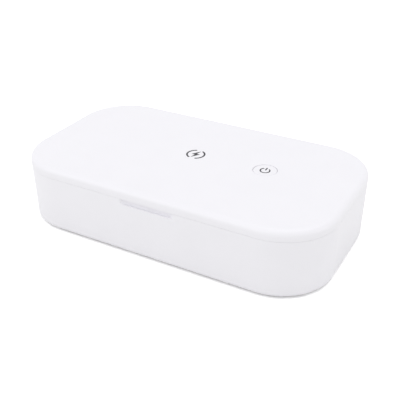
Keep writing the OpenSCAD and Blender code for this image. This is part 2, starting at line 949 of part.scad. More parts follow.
module lid_board(l, x) {
    difference() {
        chip(x, lid_board_y, lid_board_z, [l, lid_board_w, board_t]);
        at_lid_board_posts(l, x) translate([0, 0, lid_board_z - over])
            cylinder(r = peg_r + 0.1, h = board_t + 2 * over);
    }
}

module charger_board() {
    color("seagreen") lid_board(charger_l, charger_x);
    color("dimgray") {
        chip(charger_x - 5, lid_board_y + 2, lid_board_top, [6, 6, 1]);
        chip(charger_x + 6, lid_board_y - 2, lid_board_top, [7, 7, 2.2]);
    }
}

module control_board() {
    color("seagreen") lid_board(control_l, button_x);
    color("dimgray") {
        chip(button_x - 9, button_y, lid_board_top, [5, 6, 1.2]);
        chip(button_x + 8, button_y + 3, lid_board_top, [3, 2, 1.2]);
    }
}

module tact_switch() {
    color("dimgray") difference() {
        chip(button_x, button_y, lid_board_top, [switch_w, switch_w, switch_top - lid_board_top]);
        translate([button_x, button_y, lid_board_top + 0.1])
            cylinder(r = plunger_r + slip_gap, h = lid_h);
    }
}

module lid_magnets() {
    color("silver") at_lid_magnets() translate([0, 0, lid_ceiling - magnet_t])
        cylinder(r = magnet_d / 2, h = magnet_t);
}

module liner_screws() {
    shank_l = liner_t + liner_screw_l - window_gap;
    color("silver") at_liner_screws() translate([0, 0, pan_z])
        pan_screw(liner_head_r, liner_head_h, liner_screw_r, shank_l, liner_slot_depth);
}

// Cap with a dished top, a hollow underside, a stem and a flange that keeps it in
module power_button() {
    cap_r = button_d / 2;
    hollow_top = body_h - button_skin;
    dish_r = (pow(cap_r, 2) + pow(button_dish, 2)) / (2 * button_dish);
    color("white") translate([button_x, button_y, 0]) rotate_extrude() difference() {
        union() {
            difference() {
                translate([0, plunger_top]) square([cap_r, body_h - plunger_top]);
                translate([cap_r, body_h]) edge_cut(button_edge_r, 1);
            }
            translate([0, plunger_top]) square([cap_r + button_flange_w, button_flange_t]);
        }
        translate([stem_r, plunger_top - over])
            square([cap_r - stem_r - button_skin, hollow_top - plunger_top + over]);
        translate([0, body_h + dish_r - button_dish]) circle(dish_r, $fn = dish_fn);
    }
}

module switch_plunger() {
    plunger_foot = lid_board_top + 0.2 + button_travel;
    color("black") translate([button_x, button_y, plunger_foot])
        cylinder(r = plunger_r, h = plunger_top - plunger_foot);
}

base_shell();
bottom_cover();
rubber_feet();
cover_screws();
chamber_tray();
lower_reflector();
lower_lamp_tube();
lower_lamp_caps();
lower_lamp_holders();
lower_window();
phone_rests();
main_board();
board_parts();
ballast_transformer();
board_screws();
charge_socket();
lid_sensor_board();
base_magnets();
light_seal();
hinge_pin();
lid_shell();
lid_liner();
upper_reflector();
upper_lamp_tube();
upper_lamp_caps();
upper_lamp_holders();
upper_window();
charging_coil();
ferrite_sheet();
charger_board();
control_board();
tact_switch();
lid_magnets();
liner_screws();
power_button();
switch_plunger();
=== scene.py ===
# %% [markdown]
# A sanitizer box for phones is a flat white case with a hinged lid. Two quartz lamps clean
# what lies in its mirrored chamber, a coil under the lid charges a phone, and one round button
# starts it. Its solids come from a packed construction model, the frame. They could be
# modelled again here, but then lid, hinge and button would no longer fit, so they are kept and
# get their surfaces, and only what the solids leave plain is made new: clear parts with ground
# edges, inked marks, threaded screws, the wound coil, the lamps' electrodes and the contacts
# of the charging socket.

# %% Load the frame
import math

import bmesh
import bpy
import numpy as np
from mathutils import Matrix, Vector
from mathutils.bvhtree import BVHTree


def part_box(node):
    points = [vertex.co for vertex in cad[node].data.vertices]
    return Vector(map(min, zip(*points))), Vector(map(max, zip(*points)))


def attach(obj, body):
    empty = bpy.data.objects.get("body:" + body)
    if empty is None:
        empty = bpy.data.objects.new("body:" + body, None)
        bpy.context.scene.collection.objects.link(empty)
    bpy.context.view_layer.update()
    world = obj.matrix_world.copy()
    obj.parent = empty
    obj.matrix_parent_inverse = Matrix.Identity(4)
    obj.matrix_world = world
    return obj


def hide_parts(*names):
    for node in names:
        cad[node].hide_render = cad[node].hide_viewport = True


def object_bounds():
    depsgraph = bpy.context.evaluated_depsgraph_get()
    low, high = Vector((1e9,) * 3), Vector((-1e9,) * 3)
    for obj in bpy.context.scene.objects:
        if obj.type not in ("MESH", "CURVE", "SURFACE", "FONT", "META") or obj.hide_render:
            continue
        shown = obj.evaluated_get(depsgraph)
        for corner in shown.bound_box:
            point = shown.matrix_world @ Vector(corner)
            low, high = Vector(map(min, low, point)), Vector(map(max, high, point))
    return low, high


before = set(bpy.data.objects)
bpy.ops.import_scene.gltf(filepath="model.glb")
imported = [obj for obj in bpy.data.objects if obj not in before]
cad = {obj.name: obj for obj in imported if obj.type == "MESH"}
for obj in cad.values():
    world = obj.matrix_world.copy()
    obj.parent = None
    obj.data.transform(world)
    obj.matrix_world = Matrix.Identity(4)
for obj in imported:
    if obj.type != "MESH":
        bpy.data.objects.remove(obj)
cad_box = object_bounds()
MM = 0.001
print("solids:", len(cad), "box in mm:", [[round(c / MM, 2) for c in corner] for corner in cad_box])

# %% [markdown]
# Two small tools come first. A colour picked on a screen is an sRGB value, while a shader
# wants linear light. Typing linear numbers by hand hides what the colour is, so one function
# turns hex codes into them. Node trees could be clicked together and read back, but a tree
# that is built by one short function shows its wiring in the script, for materials and for
# geometry alike.

# %% Colours and nodes
MIX_A, MIX_B, MIX_RESULT = 6, 7, 2  # the colour sockets of a Mix node


def linear(code):
    """Linear RGBA of an sRGB hex code such as F4F3F8, by the curve of the sRGB standard."""
    shares = [int(code[i:i + 2], 16) / 255 for i in (0, 2, 4)]
    return [s / 12.92 if s <= 0.04045 else ((s + 0.055) / 1.055) ** 2.4 for s in shares] + [1.0]


def add(tree, kind, inputs=None, **settings):
    """Adds a node. An input is a value, another node's output, or a list of outputs to join."""
    node = tree.nodes.new(kind)
    for name, value in settings.items():
        setattr(node, name, value)
    for key, value in (inputs or {}).items():
        sources = value if isinstance(value, list) else [value]
        if isinstance(sources[0], bpy.types.NodeSocket):
            for source in sources:
                tree.links.new(source, node.inputs[key])
        else:
            node.inputs[key].default_value = value
    return node


print("white moulding in linear light:", [round(c, 3) for c in linear("F4F3F8")])

# %% [markdown]
# The camera sees the box from above, in a three-quarter view with a fairly long lens. It can
# be turned by eye until the outlines agree, but the four round corners give a better answer:
# the angles, the distance and the lens below come from fitting the box's outline to the
# picture. The lens's axis misses the picture's middle a little, which a small shift repeats.

# %% Place the camera
PICTURE = 400  # pixels along each side of the photograph
FOCAL_LENGTH = 685.7  # in the same pixels
AXIS_X, AXIS_Y = -4.58, -13.47  # where the lens's axis meets the picture, from its middle
AZIMUTH = math.radians(29.494)
ELEVATION = math.radians(28.991)
ROLL = math.radians(-0.368)
DISTANCE = 488.7 * MM
SENSOR_MM = 36
AIM_OVER_MIDDLE = 0.7 * MM  # from the box's middle up to the point that the camera aims at

away = Vector((math.sin(AZIMUTH) * math.cos(ELEVATION),
               -math.cos(AZIMUTH) * math.cos(ELEVATION), math.sin(ELEVATION)))
level = Vector((math.cos(AZIMUTH), math.sin(AZIMUTH), 0))
right = Matrix.Rotation(ROLL, 3, away) @ level
look_at = Vector((0, 0, (cad_box[0][2] + cad_box[1][2]) / 2 + AIM_OVER_MIDDLE))

lens = bpy.data.cameras.new("studio_lens")
lens.sensor_width = SENSOR_MM
lens.lens = FOCAL_LENGTH / PICTURE * SENSOR_MM
lens.shift_x = -AXIS_X / PICTURE
lens.shift_y = AXIS_Y / PICTURE
lens.clip_start = 10 * MM
camera = bpy.data.objects.new("studio_camera", lens)
bpy.context.scene.collection.objects.link(camera)
camera.matrix_world = Matrix.Translation(look_at + away * DISTANCE) @ Matrix(
    (right, away.cross(right), away)).transposed().to_4x4()
bpy.context.scene.camera = camera
bpy.context.scene.view_settings.view_transform = "Standard"
print("lens in mm:", round(lens.lens, 2))

# %% [markdown]
# The studio is white paper in very soft light, so the box leaves hardly any shadow. A bright
# lamp would bleach the white moulding. So most of the light comes from the world itself, at a
# level that shows colours about as they are written, and three softboxes add the small
# difference between the lid and the walls. The world is full white only to the eye, in a
# mirror and through glass: the light it throws on the box is a little less. A node that knows
# the kind of each ray tells them apart.

# %% Light the studio
WORLD_LIGHT = 0.84  # share of full white that the world gives to every surface


def seen_by(tree, *rays):
    """1 for rays of these kinds, such as Camera or Glossy, and 0 for all others."""
    path = add(tree, "ShaderNodeLightPath").outputs
    share = path[f"Is {rays[0]} Ray"]
    for ray in rays[1:]:
        share = add(tree, "ShaderNodeMath", {0: share, 1: path[f"Is {ray} Ray"]},
                    operation="MAXIMUM").outputs[0]
    return share


def softbox(name, place, size, share):
    """A square area lamp aimed at the box. share is what it adds to a surface that faces it."""
    lamp = bpy.data.lights.new(name, "AREA")
    lamp.size = size
    lamp.energy = share * (math.pi * Vector(place).length) ** 2
    stand = bpy.data.objects.new(name, lamp)
    stand.location = place
    stand.rotation_euler = Vector(place).to_track_quat("Z", "Y").to_euler()
    bpy.context.scene.collection.objects.link(stand)
    print(name, "watts:", round(lamp.energy, 2))


world = bpy.data.worlds.new("white_studio")
world.use_nodes = True
sky = world.node_tree.nodes["Background"]
sky.inputs["Color"].default_value = (1, 1, 1, 1)
level_of_sky = add(world.node_tree, "ShaderNodeMapRange",
                   {"Value": seen_by(world.node_tree, "Camera", "Glossy", "Transmission"),
                    "To Min": WORLD_LIGHT, "To Max": 1.0})
world.node_tree.links.new(level_of_sky.outputs[0], sky.inputs["Strength"])
bpy.context.scene.world = world

softbox("key_softbox", (-0.8, -1.25, 1.1), 1.6, 0.16)
softbox("top_softbox", (0.2, 0.3, 1.5), 1.2, 0.12)
softbox("side_softbox", (1.5, 0.2, 0.2), 0.8, 0.08)

# %% [markdown]
# Under the box lies a wide sheet of white paper. In the picture it is pure white, yet it must
# not throw more light up at the box than real paper does. A glow could whiten it, but it would
# also fill the thin line of shadow under the box. So the paper's colour depends on who looks:
# it is brighter than white to the eye, white in a mirror and through glass, and a little less,
# with faint fibres, to everything else.

# %% Lay the paper
PAPER_SEEN = 1.6  # brightness of the paper's colour to the eye, over 1 so that it burns out
FIBRES = 900  # spots per metre in the paper's faint pattern
FLOOR_SIZE = 6  # metres along each side

paper = bpy.data.materials.new("white_paper_sweep")
paper.use_nodes = True
sweep = paper.node_tree
sweep.nodes.clear()
fibres = add(sweep, "ShaderNodeTexNoise",
             {"Vector": add(sweep, "ShaderNodeTexCoord").outputs["Object"], "Scale": FIBRES})
tone = add(sweep, "ShaderNodeMix", {"Factor": fibres.outputs["Fac"], MIX_A: linear("E9E9E7"),
                                    MIX_B: linear("EDEDEB")}, data_type="RGBA")
mirrored = add(sweep, "ShaderNodeMix",
               {"Factor": seen_by(sweep, "Glossy", "Transmission"), MIX_A: tone.outputs[MIX_RESULT],
                MIX_B: (1, 1, 1, 1)}, data_type="RGBA")
seen = add(sweep, "ShaderNodeMix",
           {"Factor": seen_by(sweep, "Camera"), MIX_A: mirrored.outputs[MIX_RESULT],
            MIX_B: (PAPER_SEEN, PAPER_SEEN, PAPER_SEEN, 1)}, data_type="RGBA")
matte = add(sweep, "ShaderNodeBsdfDiffuse", {"Color": seen.outputs[MIX_RESULT]})
add(sweep, "ShaderNodeOutputMaterial", {"Surface": matte.outputs[0]})

floor_mesh = bpy.data.meshes.new("floor")
half = FLOOR_SIZE / 2
floor_mesh.from_pydata([(-half, -half, 0), (half, -half, 0), (half, half, 0), (-half, half, 0)],
                       [], [(0, 1, 2, 3)])
floor_mesh.materials.append(paper)
floor = bpy.data.objects.new("floor", floor_mesh)
bpy.context.scene.collection.objects.link(floor)
print("paper in metres:", FLOOR_SIZE, "by", FLOOR_SIZE)

# %% [markdown]
# Every surface of a real product varies: in colour, in gloss and in height. A painted image
# could show that, but it would smear on the hidden sides, so each finish is a pattern in the
# space of the piece. It starts with a material that carries the numbers which are the same
# all over its surface, and with noise whose spots have a real size in millimetres, round or
# drawn out along an axis.

# %% A finish and its noise


def new_finish(name, **constants):
    """A material whose shader has these constants, such as IOR=1.5 or Coat_Weight=0.2."""
    material = bpy.data.materials.new(name)
    material.use_nodes = True
    shader = material.node_tree.nodes["Principled BSDF"]
    for socket, value in constants.items():
        shader.inputs[socket.replace("_", " ")].default_value = value
    return material


def place_on(material):
    """Where a point lies on its piece, in metres."""
    return add(material.node_tree, "ShaderNodeTexCoord").outputs["Object"]


def mottle(material, size_mm, detail=2.0, stretch=(1, 1, 1)):
    """Noise with spots of this size, drawn out along an axis by its stretch."""
    tree = material.node_tree
    drawn = add(tree, "ShaderNodeMapping",
                {"Vector": place_on(material), "Scale": tuple(1 / s for s in stretch)})
    return add(tree, "ShaderNodeTexNoise", {"Vector": drawn.outputs[0], "Scale": 1 / (size_mm * MM),
                                            "Detail": detail}).outputs["Fac"]


# %% [markdown]
# A pattern then has two jobs. It swings colour and gloss between two values, which lie close
# together on a real part, and it raises the surface. The strength of a bump could be set by
# eye, but a height in millimetres stays true when the camera comes close. Layers are chained,
# so that a fine grain can lie on a slow ripple.

# %% Colour, gloss and relief
NOISE_SPAN = (0.3, 0.7)  # nearly all values of a noise lie between these


def swing(material, share, colours=None, gloss=None):
    """Lets a pattern move the base colour between two hex codes and the roughness in a span."""
    tree = material.node_tree
    shader = tree.nodes["Principled BSDF"].inputs
    if colours:
        mixed = add(tree, "ShaderNodeMix", {"Factor": share, MIX_A: linear(colours[0]),
                                            MIX_B: linear(colours[1])}, data_type="RGBA")
        tree.links.new(mixed.outputs[MIX_RESULT], shader["Base Color"])
    if gloss:
        span = add(tree, "ShaderNodeMapRange",
                   {"Value": share, "From Min": NOISE_SPAN[0], "From Max": NOISE_SPAN[1],
                    "To Min": gloss[0], "To Max": gloss[1]})
        tree.links.new(span.outputs[0], shader["Roughness"])


def relief(material, *layers):
    """Raises the surface by patterns, each given with its height in millimetres."""
    tree = material.node_tree
    normal = None
    for height, height_mm in layers:
        inputs = {"Height": height, "Distance": height_mm * MM}
        if normal:
            inputs["Normal"] = normal
        normal = add(tree, "ShaderNodeBump", inputs).outputs[0]
    tree.links.new(normal, tree.nodes["Principled BSDF"].inputs["Normal"])


def wear(material, *names):
    """Gives the finish to solids of the frame."""
    for name in names:
        for slot in cad[name].material_slots:
            slot.material = material
    print(material.name, "on", ", ".join(names))


# %% [markdown]
# The case is ABS, injection-moulded in a polished tool: nearly pure white with a trace of
# violet, and glossy, yet not a mirror, because the plastic shrinks a little as it cools.
# That gives a slow ripple, called orange peel, and faint changes in gloss. A bump of noise
# draws the ripple in its real height, a few thousandths of a millimetre, and a geometry of
# such waves would cost millions of faces for the same look. The roughness of the shells stays
# over 0.27 and that of the polished button under it: at about that value the denoiser starts
# to treat a surface as a mirror, and where a finish crosses it, a line shows.

# %% White shells and the button
ABS_INDEX = 1.53


def moulded_abs(name, light, dark, gloss):
    """Moulded ABS with the tool's gloss."""
    material = new_finish(name, IOR=ABS_INDEX)
    swing(material, mottle(material, 22), (dark, light), gloss)
    relief(material, (mottle(material, 2.6), 0.0025), (mottle(material, 0.35, 3), 0.0005))
    return material


wear(moulded_abs("gloss_moulded_abs", "F4F3F8", "F1F0F5", (0.28, 0.34)), "base_shell", "lid_shell")
wear(moulded_abs("polished_abs_button", "F3F2F7", "F0EFF4", (0.18, 0.24)), "power_button")

# %% [markdown]
# The underside is ABS too, but its tool is spark-eroded, and the tiny craters make a matte
# grain that hides scratches. The craters are about 0.1 mm wide, too fine to show, so the cells
# of this grain are 0.5 mm. Noise could draw it, but craters are hollows side by side with
# raised rims between them, and the smoothed distance in a Voronoi pattern has that shape.

# %% Bottom cover
GRAIN_MM = 0.5  # width of one cell
grained = new_finish("spark_grained_abs", IOR=ABS_INDEX)
craters = add(grained.node_tree, "ShaderNodeTexVoronoi",
              {"Vector": place_on(grained), "Scale": 1 / (GRAIN_MM * MM)}, feature="SMOOTH_F1")
swing(grained, mottle(grained, 14), ("E1E0E5", "E6E5EA"), (0.5, 0.6))
relief(grained, (craters.outputs["Distance"], 0.03))
wear(grained, "bottom_cover")

# %% [markdown]
# Feet and light seal are soft grey silicone. It takes up dust, so it never looks wet, and its
# filler shows as a fine speckle. Two noises do this: a coarse one for the dull film and a
# fine one for the skin. The shader's sheen could make the dust too, but it would draw a
# bright rim that rubber doesn't have, so it stays off.

# %% Silicone parts


def silicone(name, light, dark):
    """Filled silicone rubber with a dusty skin."""
    material = new_finish(name, IOR=1.43)
    swing(material, mottle(material, 0.8, 6), (dark, light), (0.5, 0.68))
    relief(material, (mottle(material, 0.4, 3), 0.006))
    return material


wear(silicone("foot_silicone", "B9B9BE", "A9A9AF"), "rubber_feet")
wear(silicone("seal_silicone", "BEBEC3", "B0B0B6"), "light_seal")

# %% [markdown]
# The chamber's tray and the lid's inner panel are moulded plastic with a film of aluminium, a
# thousandth of a millimetre thick, which throws the lamps' light about. It is a mirror that
# follows every ripple of the moulding under it, so reflections swim. A perfect mirror would
# look like a hole in the picture. So the roughness is low but uneven, as where the film was
# wiped, and the ripple is a slow noise.

# %% Mirrored chamber and liner
mirror = new_finish("vacuum_metallised_abs", Metallic=1.0)
swing(mirror, mottle(mirror, 9, 4), ("CDCFD3", "D9DBDE"), (0.08, 0.16))
relief(mirror, (mottle(mirror, 7, 1), 0.02), (mottle(mirror, 0.6, 3), 0.0006))
wear(mirror, "chamber_tray", "lid_liner")

# %% [markdown]
# The reflectors are bright rolled aluminium: each lamp lies in a small trough of that sheet.
# Rolling leaves lines along the strip, here along X. An anisotropic shader could stretch the
# highlights alone, but the lines themselves show from close by, so the noise is drawn out
# sixty times in that direction, which turns round spots into hairlines.

# %% Lamp reflectors
sheet_metal = new_finish("rolled_aluminium_sheet", Metallic=1.0)
rolling = mottle(sheet_metal, 0.5, 3, (60, 1, 1))
swing(sheet_metal, rolling, ("D2D3D6", "E0E1E3"), (0.14, 0.26))
relief(sheet_metal, (rolling, 0.0015))
wear(sheet_metal, "lower_reflector", "upper_reflector")

# %% [markdown]
# Lamp tubes are fused quartz, because it passes ultraviolet, the windows over them are
# glass plates, and the rests under the phone are clear acrylic. One shader serves all three:
# full transmission with the index of the real material. What tells them apart is the
# surface: die lines along the drawn tube, faint cloud on the plate, ripple on the moulding.

# %% Clear parts


def clear(name, tint, index, pattern_mm, stretch, gloss, ripple_mm):
    """A see-through solid with the marks of the way it was made."""
    material = new_finish(name, Transmission_Weight=1.0, IOR=index)
    marks = mottle(material, pattern_mm, 2, stretch)
    swing(material, marks, tint, gloss)
    relief(material, (marks, ripple_mm))
    return material


quartz = clear("fused_quartz", ("F7F6FF", "FCFBFF"), 1.46, 0.8, (80, 1, 1), (0.0, 0.04), 0.002)
glass = clear("clear_glass_plate", ("F1F8F5", "F6FBF9"), 1.52, 6, (1, 1, 1), (0.0, 0.05), 0.0006)
acrylic = clear("clear_acrylic", ("F4F8FA", "F9FCFD"), 1.49, 2, (1, 3, 1), (0.02, 0.08), 0.002)
wear(quartz, "lower_lamp_tube", "upper_lamp_tube")

# %% [markdown]
# A lamp ends in a cap, a sleeve of matte fired ceramic with a thin nickel wire, and the frame
# holds both as one solid. It could be cut in two, but a mask does the same job: beyond the
# sleeve's end the material turns to metal. The end is measured back from the wire's tip.

# %% Lamp caps and holders
LEAD_LENGTH = 3 * MM
SLEEVE_ROUGHNESS, WIRE_ROUGHNESS = 0.62, 0.28
sleeve_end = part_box("lower_lamp_caps")[1].x - LEAD_LENGTH
ceramic = new_finish("fired_ceramic_with_wire", IOR=1.6)
tree = ceramic.node_tree
along = add(tree, "ShaderNodeSeparateXYZ", {0: place_on(ceramic)}).outputs["X"]
distance = add(tree, "ShaderNodeMath", {0: along}, operation="ABSOLUTE").outputs[0]
is_wire = add(tree, "ShaderNodeMath", {0: distance, 1: sleeve_end}, operation="GREATER_THAN").outputs[0]
pores = mottle(ceramic, 0.3, 5)
sleeve = add(tree, "ShaderNodeMix", {"Factor": pores, MIX_A: linear("E4E0D5"), MIX_B: linear("EFECE4")},
             data_type="RGBA").outputs[MIX_RESULT]
skin = add(tree, "ShaderNodeMix", {"Factor": is_wire, MIX_A: sleeve, MIX_B: linear("B9B6AE")},
           data_type="RGBA").outputs[MIX_RESULT]
shine = add(tree, "ShaderNodeMapRange",
            {"Value": is_wire, "To Min": SLEEVE_ROUGHNESS, "To Max": WIRE_ROUGHNESS}).outputs[0]
for value, socket in ((skin, "Base Color"), (is_wire, "Metallic"), (shine, "Roughness")):
    tree.links.new(value, tree.nodes["Principled BSDF"].inputs[socket])
relief(ceramic, (pores, 0.008))
wear(ceramic, "lower_lamp_caps", "upper_lamp_caps")

nylon = new_finish("moulded_white_nylon", IOR=1.53)
swing(nylon, mottle(nylon, 3, 4), ("E4E3DF", "ECEBE7"), (0.42, 0.55))
relief(nylon, (mottle(nylon, 0.5, 3), 0.004))
wear(nylon, "lower_lamp_holders", "upper_lamp_holders")

# %% [markdown]
# The circuit boards wear green lacquer, the solder mask, over copper. Where a track runs
# underneath, it stands up by a hair and looks lighter. Tracks run square to the board's edges
# and at 45 degrees. They could be drawn one by one, but the edges of Voronoi cells run the
# same ways if distance is measured along the axes. So the line where two cells are equally
# near draws believable tracks, with small tinned holes at the cells' hearts.

# %% Boards
TRACK_MM = 3.2  # distance between two tracks
TRACK_EDGE = (0.12, 0.15)  # where a track's side starts and ends, as shares of that distance
HOLE_RADIUS = 0.1  # such a share too
mask = new_finish("solder_mask_on_copper", IOR=1.5)
tree = mask.node_tree
cells = {feature: add(tree, "ShaderNodeTexVoronoi",
                      {"Vector": place_on(mask), "Scale": 1 / (TRACK_MM * MM)},
                      feature=feature, distance="CHEBYCHEV").outputs["Distance"]
         for feature in ("F1", "F2")}
edge = add(tree, "ShaderNodeMath", {0: cells["F2"], 1: cells["F1"]}, operation="SUBTRACT").outputs[0]
track = add(tree, "ShaderNodeMapRange",
            {"Value": edge, "From Min": TRACK_EDGE[0], "From Max": TRACK_EDGE[1],
             "To Min": 1.0, "To Max": 0.0}).outputs[0]
hole = add(tree, "ShaderNodeMath", {0: cells["F1"], 1: HOLE_RADIUS}, operation="LESS_THAN").outputs[0]
lacquer = add(tree, "ShaderNodeMix", {"Factor": track, MIX_A: linear("1F5A38"), MIX_B: linear("2F7A4C")},
              data_type="RGBA").outputs[MIX_RESULT]
tinned = add(tree, "ShaderNodeMix", {"Factor": hole, MIX_A: lacquer, MIX_B: linear("C3C2BC")},
             data_type="RGBA").outputs[MIX_RESULT]
tree.links.new(tinned, tree.nodes["Principled BSDF"].inputs["Base Color"])
tree.links.new(hole, tree.nodes["Principled BSDF"].inputs["Metallic"])
swing(mask, mottle(mask, 4), gloss=(0.3, 0.4))
relief(mask, (track, 0.03))
wear(mask, "main_board", "lid_sensor_board", "charger_board", "control_board")

# %% [markdown]
# Chips and switches are black epoxy with a fine grit, the transformer is wound with yellow
# polyester tape, whose turns show as level bands, and the sheet behind the coil is sintered
# ferrite, dark with a crystalline sparkle. All of them sit inside, so each needs only the
# one pattern that names it: grit, bands or crystals.

# %% Epoxy, tape and ferrite
TAPE_MM = 2.4  # width of one band of tape
UNIT_WAVE = 0.314  # metres from band to band in a wave pattern of scale 1
CRYSTAL_MM = 0.6
epoxy = new_finish("moulded_epoxy", IOR=1.55)
swing(epoxy, mottle(epoxy, 0.4, 4), ("1D1D20", "2B2B2F"), (0.5, 0.7))
relief(epoxy, (mottle(epoxy, 0.25, 3), 0.01))
wear(epoxy, "board_parts", "tact_switch", "switch_plunger")

tape = new_finish("polyester_tape", IOR=1.64)
bands = add(tape.node_tree, "ShaderNodeTexWave",
            {"Vector": place_on(tape), "Scale": UNIT_WAVE / (TAPE_MM * MM), "Distortion": 0.4},
            bands_direction="Z", wave_profile="SAW").outputs["Fac"]
swing(tape, bands, ("C98F1E", "E0AC3A"), (0.3, 0.42))
relief(tape, (bands, 0.05))
wear(tape, "ballast_transformer")

ferrite = new_finish("sintered_ferrite", IOR=1.9)
crystals = add(ferrite.node_tree, "ShaderNodeTexVoronoi",
               {"Vector": place_on(ferrite), "Scale": 1 / (CRYSTAL_MM * MM)}).outputs["Distance"]
swing(ferrite, crystals, ("232326", "37373C"), (0.35, 0.55))
relief(ferrite, (crystals, 0.01))
wear(ferrite, "ferrite_sheet")

# %% [markdown]
# Screws and pin are steel under nickel, and nickel covers the magnets too. It is slightly
# warm and softly bright. On a screw's head the turning tool leaves rings. Grooves in the mesh
# would be finer than its faces, so the screws carry a value that gives each point's distance
# from the axis, and a relief of rings follows it.

# %% Nickel
RING_MM = 0.25  # distance between two tool marks on a head


def plated(name, light, dark, gloss):
    """Nickel, with tool marks where a piece knows the distance from its axis."""
    material = new_finish(name, Metallic=1.0)
    tree = material.node_tree
    radius = add(tree, "ShaderNodeAttribute", attribute_name="from_axis").outputs["Fac"]
    turns = add(tree, "ShaderNodeMath", {0: radius, 1: 2 * math.pi / (RING_MM * MM)},
                operation="MULTIPLY").outputs[0]
    rings = add(tree, "ShaderNodeMath", {0: turns}, operation="SINE").outputs[0]
    swing(material, mottle(material, 1.2, 4), (dark, light), gloss)
    relief(material, (rings, 0.002), (mottle(material, 0.5, 3), 0.001))
    return material


steel = plated("nickel_plated_steel", "C9C6BF", "BBB8B1", (0.18, 0.26))
wear(steel, "hinge_pin")
wear(plated("nickel_plated_magnet", "CFCDC8", "C2C0BB", (0.14, 0.22)), "base_magnets", "lid_magnets")

# %% [markdown]
# The socket's shell is deep-drawn steel, with lines along Y, and the frame holds it and the
# black tongue in its middle as one solid. They could be cut apart, but a mask in the material
# does the same and leaves the solid alone: inside a box round the tongue, the metal ends. The
# contacts on the tongue are gilt, and get their finish here too.

# %% Drawn steel and gold
socket_low, socket_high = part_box("charge_socket")
socket_middle = (socket_low + socket_high) / 2
TONGUE = Vector((6.7, 0, 0.8)) * MM  # width and height in which the metal gives way to the tongue
drawn_steel = new_finish("drawn_steel_with_tongue", IOR=1.5)
tree = drawn_steel.node_tree
from_middle = add(tree, "ShaderNodeVectorMath", {0: place_on(drawn_steel), 1: socket_middle},
                  operation="SUBTRACT").outputs[0]
reach = add(tree, "ShaderNodeVectorMath", {0: from_middle}, operation="ABSOLUTE").outputs[0]
outside = add(tree, "ShaderNodeVectorMath", {0: reach, 1: TONGUE / 2}, operation="SUBTRACT").outputs[0]
axes = add(tree, "ShaderNodeSeparateXYZ", {0: outside}).outputs
furthest = add(tree, "ShaderNodeMath", {0: axes["X"], 1: axes["Z"]}, operation="MAXIMUM").outputs[0]
is_shell = add(tree, "ShaderNodeMath", {0: furthest, 1: 0.0}, operation="GREATER_THAN").outputs[0]
draw_lines = mottle(drawn_steel, 0.2, 3, (1, 30, 1))
metal = add(tree, "ShaderNodeMix",
            {"Factor": draw_lines, MIX_A: linear("A9A8A6"), MIX_B: linear("C4C3C1")},
            data_type="RGBA").outputs[MIX_RESULT]
skin = add(tree, "ShaderNodeMix", {"Factor": is_shell, MIX_A: linear("1E1E21"), MIX_B: metal},
           data_type="RGBA").outputs[MIX_RESULT]
tree.links.new(skin, tree.nodes["Principled BSDF"].inputs["Base Color"])
tree.links.new(is_shell, tree.nodes["Principled BSDF"].inputs["Metallic"])
swing(drawn_steel, draw_lines, gloss=(0.28, 0.4))
relief(drawn_steel, (draw_lines, 0.002))
wear(drawn_steel, "charge_socket")

gold = new_finish("gold_plated_contact", Metallic=1.0)
swing(gold, mottle(gold, 0.4, 3), ("E3B868", "F0CC84"), (0.16, 0.26))
relief(gold, (mottle(gold, 0.3, 2), 0.001))

# %% [markdown]
# From here on, pieces are made. A finished piece keeps its object at the origin, with its
# place in its mesh, as the frame's own solids do. Then its pattern can't slide, and it can
# ride on a body that moves. One function does the closing steps for all new pieces: normals,
# smooth shading with sharp edges where the form has them, and the ties to the frame.

# %% Ties to the frame
SHARP = math.radians(35)  # a fold steeper than this stays an edge


def into_frame(piece, body, stands_for=()):
    """Shades a finished piece, ties it to its body and hides the nodes it replaces."""
    piece.data.shade_smooth()
    piece.data.set_sharp_from_angle(angle=SHARP)
    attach(piece, body)
    if stands_for:
        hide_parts(*stands_for)
    print(piece.name, "rides on", body, "with", len(piece.data.polygons), "faces")


def new_piece(name, shape, material):
    """An object from a bmesh whose faces are turned outwards."""
    bmesh.ops.recalc_face_normals(shape, faces=shape.faces)
    mesh = bpy.data.meshes.new(name)
    shape.to_mesh(mesh)
    shape.free()
    mesh.materials.append(material)
    piece = bpy.data.objects.new(name, mesh)
    bpy.context.scene.collection.objects.link(piece)
    return piece


# %% [markdown]
# The windows and the phone's rests lie flat on the mirrored tray. Where glass touches another
# solid exactly, light that leaves the glass can't tell which surface comes first, and the
# piece looks black. A less clear glass would hide that, but a hair of air between the two
# cures it, and real plates have that air as well. So each clear piece is a copy of its solid,
# welded, cleared of the lines inside its flat faces, 0.05 mm smaller all round, and with the
# small ground bevel that keeps a real edge from chipping and catches the light.

# %% Cut the clear pieces
AIR = 0.05 * MM
GROUND_EDGE = 0.25 * MM
GROUND_STEPS = 2  # faces across a ground edge
WELD = 0.001 * MM  # corners that are closer than this become one
FLAT = math.radians(1)  # faces that meet at less than this are one face
CORNER = math.radians(60)  # edges steeper than this are ground


def welded_copy(node):
    """A node's loose triangles joined at their corners."""
    shape = bmesh.new()
    shape.from_mesh(cad[node].data)
    bmesh.ops.remove_doubles(shape, verts=shape.verts, dist=WELD)
    return shape


def cut_clear(name, node, body, material):
    """A clear piece with air round it and ground edges, in place of its node."""
    shape = welded_copy(node)
    bmesh.ops.dissolve_limit(shape, angle_limit=FLAT, verts=shape.verts, edges=shape.edges)
    shape.normal_update()
    inwards = [-v.normal * v.calc_shell_factor() * AIR for v in shape.verts]
    for vertex, move in zip(shape.verts, inwards):
        vertex.co += move
    corners = [e for e in shape.edges if e.calc_face_angle(0) > CORNER]
    bmesh.ops.bevel(shape, geom=corners, offset=GROUND_EDGE, segments=GROUND_STEPS, profile=0.5,
                    affect="EDGES", clamp_overlap=True)
    into_frame(new_piece(name, shape, material), body, [node])


